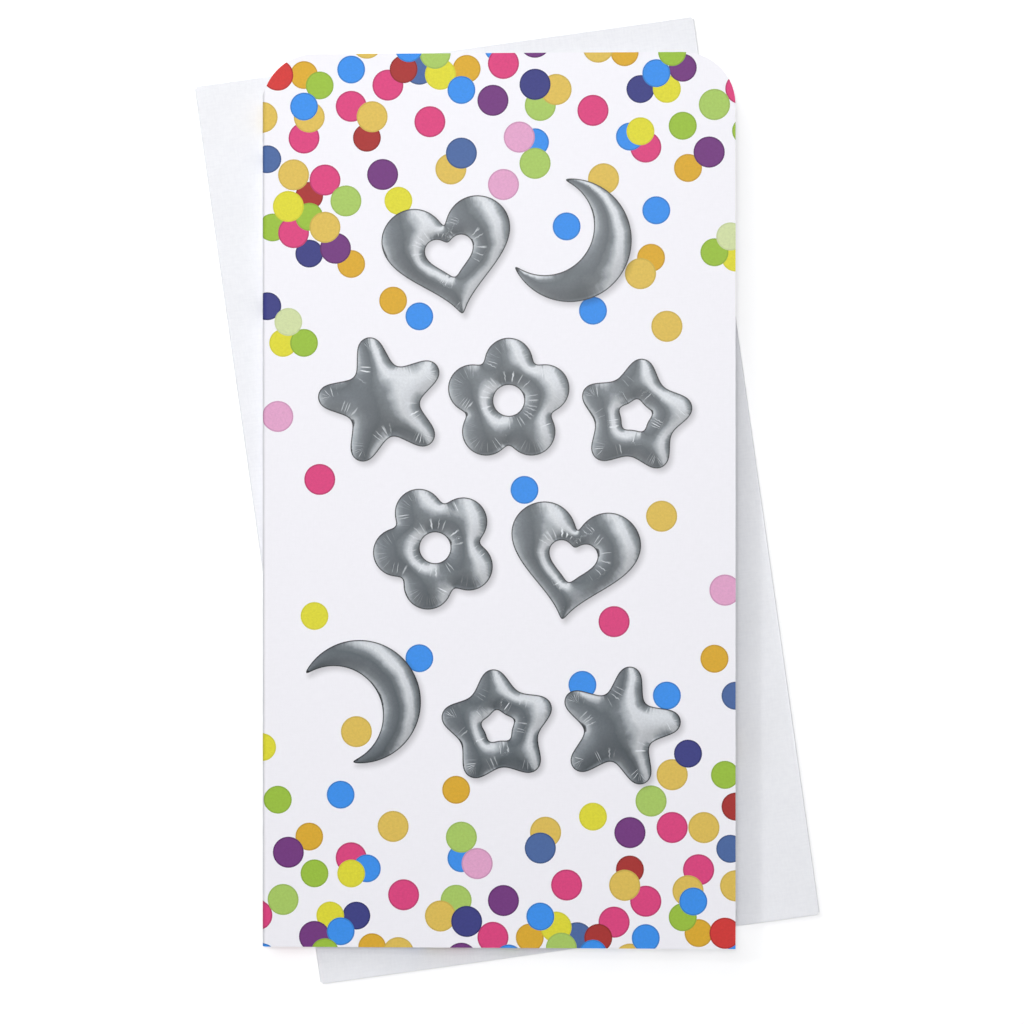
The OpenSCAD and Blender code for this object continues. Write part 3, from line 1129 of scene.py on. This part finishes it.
# Crinkles reach in from the rim, most where it bends, and the skin sags a little.
fade = calc(tree, "EXPONENT", calc(tree, "MULTIPLY", depth, -0.62))
reach = calc(tree, "MULTIPLY", fade, calc(tree, "ADD", bend, 0.08))
beat = add(tree, "CombineXYZ", calc(tree, "MULTIPLY", along, 1.7), calc(tree, "MULTIPLY", depth, 0.22))
crinkle = add(tree, "TexNoise", beat, None, 1.0, 2.0, 0.6)
tug = calc(tree, "MULTIPLY", calc(tree, "SUBTRACT", crinkle, 0.5), 1.9)
tug = calc(tree, "MULTIPLY", tug, reach)
dimple = add(tree, "TexNoise", gin.outputs["Vector"], None, 0.32, 3.0, 0.55)
sag = calc(tree, "MULTIPLY", calc(tree, "SUBTRACT", dimple, 0.5), 0.3)
across = calc(tree, "SUBTRACT", lean_across, calc(tree, "MULTIPLY", lean_up, tug))
across = calc(tree, "ADD", across, sag)
upward = calc(tree, "ADD", lean_up, calc(tree, "MULTIPLY", lean_across, tug))


def facing(x_share, y_share):
    """How far the skin leans one way, from 0 to 1."""
    x = calc(tree, "MULTIPLY", across, x_share / 2)
    y = calc(tree, "MULTIPLY", upward, y_share / 2)
    return calc(tree, "ADD", calc(tree, "ADD", x, y), 0.5)


studio_across = (
    (0.0, (46, 48, 52)), (0.03, (88, 93, 98)), (0.055, (202, 207, 213)), (0.1, (178, 185, 191)),
    (0.18, (138, 145, 151)), (0.3, (112, 119, 126)), (0.44, (97, 105, 111)), (0.53, (124, 131, 137)),
    (0.6, (188, 194, 200)), (0.66, (224, 228, 233)), (0.76, (222, 226, 232)), (0.83, (154, 161, 167)),
    (0.9, (114, 121, 127)), (0.96, (82, 88, 93)), (1.0, (48, 51, 55)),
)
mirrored = tinted(
    tree, ramp(tree, facing(0.94, 0.34), *[(at, colour(*tone)) for at, tone in studio_across]),
    ramp(
        tree, facing(-0.2, 0.98),
        (0.0, 1.0), (0.05, 0.95), (0.11, 0.6), (0.3, 0.68), (0.5, 0.9), (0.68, 1.0), (0.88, 0.97), (1.0, 0.8),
    ),
)

# Glints sit a little way in from a bend of the rim, and a dark line runs round it.
tick = add(tree, "CombineXYZ", calc(tree, "MULTIPLY", along, 3.1))
spark = ramp(tree, add(tree, "TexNoise", tick, None, 1.0, 0.0, 0.5), (0.57, 0.0), (0.67, 1.0))
reaching = ramp(
    tree, calc(tree, "MULTIPLY", depth, 0.2), (0.1, 0.0), (0.22, 1.0), (0.42, 1.0), (0.56, 0.0),
)
bending = ramp(tree, bend, (0.22, 0.0), (0.5, 1.0))
glint = calc(tree, "MULTIPLY", calc(tree, "MULTIPLY", reaching, spark), bending)
mirrored = mixed(tree, glint, mirrored, colour(226, 230, 235))
line_w = 0.3
line_mask = ramp(tree, calc(tree, "MULTIPLY", depth, 1 / line_w), (0.35, 1.0), (1.0, 0.0))
put(tree, gout.inputs["Color"], mixed(tree, line_mask, mirrored, colour(38, 41, 46)))


def stored(tree, name):
    """An attribute of the mesh."""
    return add(tree, "Attribute", attribute_name=name)


def foil_picture(tree):
    """The foil print, from what the mesh holds for it."""
    puff, seam = (stored(tree, name).outputs["Vector"] for name in ("puff", "seam"))
    return place(tree, foil_print, Puff=puff, Seam=seam, Vector=on_sheet(tree))


# Print: ink with a fine mottle on coated board, and painted shade along the front's crease.
print_finish, tree = finish("printed board", 0.15)
ink = stored(tree, "ink")
height, fleck, _ = fibres(tree, 1.6, 9.0)
mottle = ramp(tree, add(tree, "TexNoise", on_sheet(tree), None, 2.1, 4.0, 0.75), (0.32, 0.88), (0.68, 1.02))
tone = tinted(tree, ink.outputs["Color"], ramp(tree, fleck, (0.3, 0.965), (0.65, 1.0)))
inked = add(tree, "SeparateColor", ink.outputs["Color"], mode="HSV").outputs[1]
inked = ramp(tree, inked, (0.08, 0.0), (0.3, 1.0))
tone = mixed(tree, inked, tone, tinted(tree, tone, mottle))
# Painted shade: a grey band multiplied into the print along the front's crease, standing in for the shade
# where the fold turns away from the light.
from_crease = calc(tree, "MULTIPLY", add(tree, "SeparateXYZ", on_sheet(tree)), 0.2)
painted_crease_shade = ramp(
    tree, calc(tree, "ADD", from_crease, 0.5), (0.42, 1.0), (0.47, 0.74), (0.56, 0.74), (0.63, 1.0),
)
tone = tinted(tree, tinted(tree, tone, painted_crease_shade), stored(tree, "shade").outputs["Fac"])
foil = tinted(tree, foil_picture(tree), mottle)
coating = ramp(tree, height, (0.3, 0.36), (0.7, 0.5))
surface(
    tree, mixed(tree, ink.outputs["Alpha"], tone, foil),
    mixed(tree, ink.outputs["Alpha"], coating, (0.3, 0.3, 0.3, 1)), height, 0.3, 0.00002,
)
board_tones = colour(232, 232, 236), colour(243, 243, 245)
board_finish = bare_stock(
    "uncoated board", 0.25, (1.1, 5.0), board_tones, 0.965, (0.66, 0.84), (0.4, 0.00005),
)
for piece in (front, spine, back):
    coat(piece, print_finish, board_finish)
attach(back, "holder")
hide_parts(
    "back_cover", "pocket_panel", "pocket_bottom_fold", "pocket_left_fold",
    "pocket_right_fold", "pocket_left_tab", "pocket_right_tab",
)
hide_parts("back_fold", "spine")
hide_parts("front_fold", "front_cover")


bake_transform(spine)
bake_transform(front)

# Pocket glue: two strips between the tabs and the back cover, put on by
# machine and pressed flat, with edges that ran a little.
glue_w = 5
glue_waver = 0.4
glue_foot = bottom_fold_out_r + tab_relief + tab_slant + tab_relief
glue_top = pocket_depth - tab_slant - tab_relief
glue_x = pocket_x + pocket_side_out_r + (tab_w - glue_w) / 2
far_glue_x = 2 * pocket_x + pocket_w - glue_x - glue_w
glue_outlines = [
    strip_outline(x, glue_foot, x + glue_w, glue_top, glue_waver, print_dice)
    for x in (glue_x, far_glue_x)
]
pocket_glue = strip("pocket_glue_strips", glue_outlines, board, glue, lambda p: p + holder_at)
glue_finish = dried(
    "dried glue", (0.4, 2.0), (colour(222, 214, 186), colour(236, 231, 212)), (0.2, 0.5),
)
coat(pocket_glue, glue_finish, glue_finish)
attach(pocket_glue, "holder")
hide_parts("pocket_glue")

# Gift card: a standard plastic card, printed in front with a plain confetti
# design, with a magnetic stripe and a blank writing panel on the back.
card_r = 3.2
card_foot_play = 0.3
card_bevel = 0.12
card_edge_drop = 0.09
card_step = 6
card_dot_count = 46
card_least_gap = 3.2
card_bare_band = 0.25
card_dot_share = 2.2
card_at = holder_at + (
    pocket_x + board + card_end_play, bottom_fold_out_r + card_foot_play, card_z + card_t / 2,
)
card_blue = colour(72, 149, 237)[:3]
card_kinds = [kind for kind in kinds if kind[0] != "sky blue"]


def card_outline(inset):
    """The card's outline, or one that far inside it."""
    x, y, r = card_w - inset, card_h - inset, card_r - inset
    return rounded([(inset, inset, r), (x, inset, r), (x, y, r), (inset, y, r)])


def card_shape(p):
    """Both faces drop a little at the edge, where the die has rounded it."""
    out = -beside(p[:, :2], np.array(card_outline(0)))[0]
    drop = np.clip(1 - out / card_bevel, 0, 1)
    q = p.copy()
    q[:, 2] -= np.sign(p[:, 2]) * card_edge_drop * drop ** 2
    return q + card_at


def card_prints():
    """Dots thrown over the lower left and the upper right of the card."""
    dots = []
    while len(dots) < card_dot_count:
        x, y = print_dice.uniform(-1, card_w + 1), print_dice.uniform(-1, card_h + 1)
        off = abs(x / card_w + y / card_h - 1)
        gap = min([math.hypot(x - u, y - v) for _, _, u, v in dots] or [card_w])
        if gap > card_least_gap and print_dice.random() < (off - card_bare_band) * card_dot_share:
            dots.append((*print_dice.choice(card_kinds), x, y))
    return dots


card_star = balloon_loops(ring_star, card_w / 2, card_h / 2, 1.2, 8)
card_inset = card_outline(card_bevel)
card_lines = list(zip(card_inset, card_inset[1:] + card_inset[:1]))
gift_card = printed(
    "gift_card_plastic", card_outline(0), card_t, card_shape, card_lines, card_blue, card_prints(),
    [card_star], card_step,
)


def plastic(tree, tone):
    """Gloss, with hair-fine rubbing from going in and out of the pocket."""
    thin = add(tree, "VectorMath", on_sheet(tree), (9, 0.25, 1), operation="MULTIPLY")
    scratches = add(tree, "TexNoise", thin, None, 1.0, 2.0, 0.5)
    surface(tree, tone, ramp(tree, scratches, (0.35, 0.14), (0.75, 0.3)), scratches, 0.15, 0.00001)


card_face, tree = finish("card print", 0.55)
ink = stored(tree, "ink")
grain = ramp(tree, add(tree, "TexNoise", on_sheet(tree), None, 6.0, 2.0, 0.6), (0.3, 0.97), (0.7, 1.0))
tone = tinted(tree, ink.outputs["Color"], stored(tree, "shade").outputs["Fac"])
plastic(tree, tinted(tree, mixed(tree, ink.outputs["Alpha"], tone, foil_picture(tree)), grain))


def band(tree, value, low_edge, high_edge, soft=0.08):
    """1 between two places, 0 outside them."""
    rise = add(tree, "MapRange", value, low_edge - soft, low_edge + soft)
    drop = add(tree, "MapRange", value, high_edge + soft, high_edge - soft)
    return calc(tree, "MULTIPLY", rise, drop)


stripe = (36, 48.7)
panel_x = (6, 62)
panel_y = (20, 30)
card_back, tree = finish("card back", 0.55)
x, y, _ = add(tree, "SeparateXYZ", on_sheet(tree)).outputs
y = calc(tree, "SUBTRACT", y, inside_offset)
grain = add(tree, "TexNoise", on_sheet(tree), None, 5.0, 3.0, 0.6)
white, dark, pale = (
    ramp(tree, grain, (0.3, colour(*low)), (0.7, colour(*high)))
    for low, high in (
        ((236, 237, 240), (243, 244, 246)), ((34, 32, 34), (44, 42, 43)), ((214, 216, 214), (228, 230, 228)),
    )
)
blank = calc(tree, "MULTIPLY", band(tree, x, *panel_x), band(tree, y, *panel_y))
plastic(tree, mixed(tree, band(tree, y, *stripe), mixed(tree, blank, white, pale), dark))
coat(gift_card, card_face, card_back)
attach(gift_card, "card")
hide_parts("gift_card")

# Floor: a plain pale table top, just under the object, which keeps its soft
# shadow. It shows white to the camera, and its own colour lights the object.
half_floor = 3
floor_z = -0.00002
floor_glow = 0.38
floor_corners = [(x * half_floor, y * half_floor, floor_z) for x, y in ((-1, -1), (1, -1), (1, 1), (-1, 1))]
floor_mesh = bpy.data.meshes.new("floor")
floor_mesh.from_pydata(floor_corners, [], [(0, 1, 2, 3)])
floor = bpy.data.objects.new("floor", floor_mesh)
bpy.context.scene.collection.objects.link(floor)
floor_white = bpy.data.materials.new("floor white")
floor_white.use_nodes = True
tree = floor_white.node_tree
tree.nodes.clear()
path = add(tree, "LightPath")
seen = calc(tree, "MAXIMUM", path.outputs["Is Camera Ray"], path.outputs["Is Glossy Ray"])
seen = calc(tree, "MAXIMUM", seen, path.outputs["Is Transmission Ray"])
glow = add(tree, "Emission", (1, 1, 1, 1), calc(tree, "MULTIPLY", seen, floor_glow))
matt = add(tree, "BsdfDiffuse", (0.78, 0.78, 0.79, 1))
add(tree, "OutputMaterial", add(tree, "AddShader", matt, glow))
floor_mesh.materials.append(floor_white)


# Light: most from overhead, a small key and a broad one from the upper left,
# a near fill and a low one beyond the object's ends, and an even white room.
def lamp(name, size, share, place_at):
    """A round lamp turned to the object. share is the part of the light it gives there."""
    data = bpy.data.lights.new(name, "AREA")
    data.shape = "DISK"
    data.size = size
    data.color = (1, 0.995, 0.985)
    light = bpy.data.objects.new(name, data)
    light.location = place_at
    distance = light.location.length
    data.energy = share * math.pi ** 2 * distance ** 3 / light.location.z
    light.rotation_euler = light.location.to_track_quat("Z", "Y").to_euler()
    bpy.context.scene.collection.objects.link(light)


lamp("small key", 0.12, 0.09, (-0.695, 0.33, 0.786))
lamp("broad key", 0.8, 0.08, (-0.45, 0.62, 0.7))
lamp("near fill", 0.25, 0.12, (-0.1, 0.3, 0.27))
lamp("overhead", 0.3, 0.4, (-0.03, 0.1, 0.9))
lamp("low fill", 0.4, 0.045, (0.1, -0.6, 0.35))

room_light = 0.26
world = bpy.data.worlds.new("room")
bpy.context.scene.world = world
world.use_nodes = True
tree = world.node_tree
room = tree.nodes["Background"]
room.inputs["Color"].default_value = (0.955, 0.97, 1, 1)
seen = calc(tree, "MULTIPLY", add(tree, "LightPath").outputs["Is Camera Ray"], 1 - room_light)
put(tree, room.inputs["Strength"], calc(tree, "ADD", seen, room_light))
bpy.context.scene.view_settings.view_transform = "Standard"
